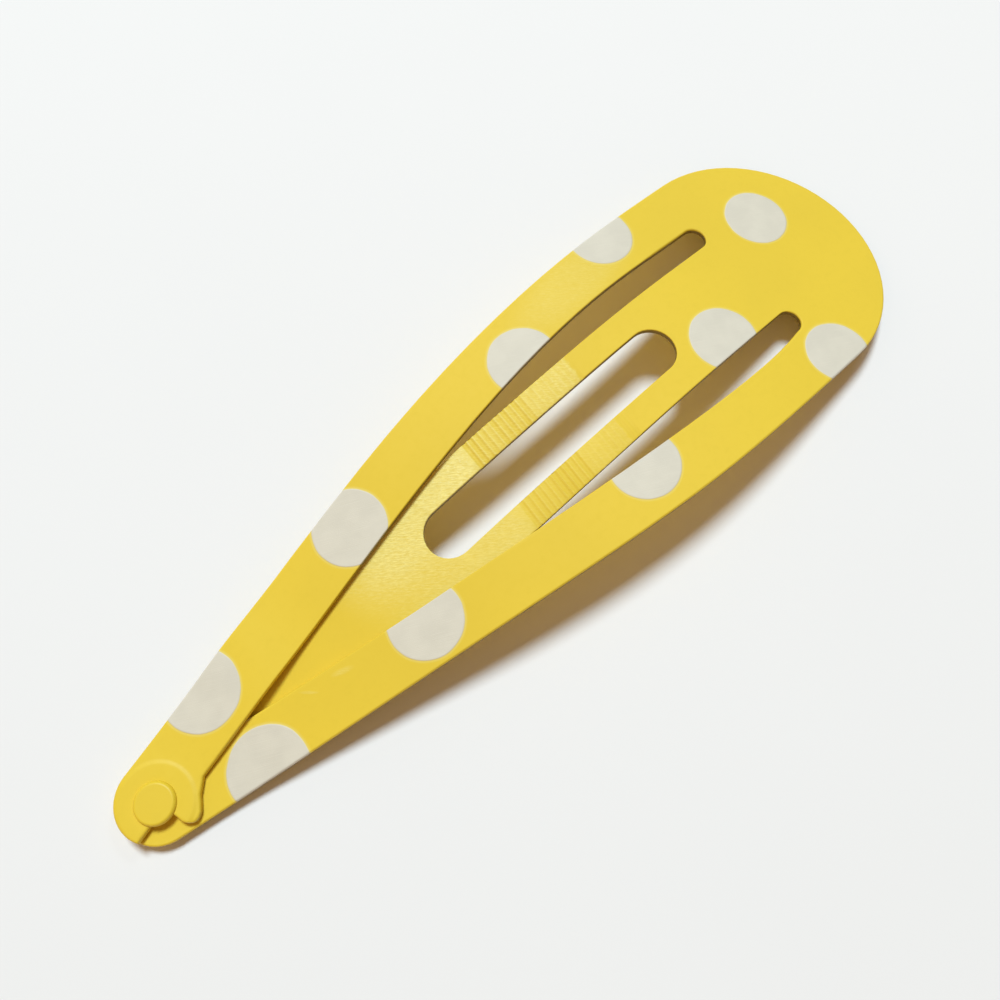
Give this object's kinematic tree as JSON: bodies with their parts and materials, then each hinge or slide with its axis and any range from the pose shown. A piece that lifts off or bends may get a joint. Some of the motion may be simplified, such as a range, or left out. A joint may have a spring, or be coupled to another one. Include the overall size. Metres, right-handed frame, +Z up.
{
  "type": "snap hair clip",
  "caption": "Teardrop snap hair clip of arched painted sheet steel, with a slotted spring tongue that snaps under two arms riveted together at the tip.",
  "frame": {"origin": "bottom centre of the bounding box, on the surface that the closed clip rests on", "axes": "X along the clip with the broad end at +X and the riveted tip at -X; Y across, left arm at +Y; Z up"},
  "size_m": [0.05, 0.0144, 0.0035],
  "materials": {
    "frame_paint": "satin yellow paint with white polka dots",
    "tongue_paint": "satin yellow paint, worn glossy towards its end",
    "rivet_paint": "satin yellow paint"
  },
  "bodies": {
    "clip": {"frame": "frame_paint", "rivet": "rivet_paint"},
    "tongue": {"tongue": "tongue_paint"}
  },
  "joints": [
    {"name": "tongue_snap", "type": "hinge", "parent": "clip", "child": "tongue", "pos_m": [0.01336, 0, 0.00236], "axis": [0, -1, 0], "range_deg": [0, 25]}
  ]
}
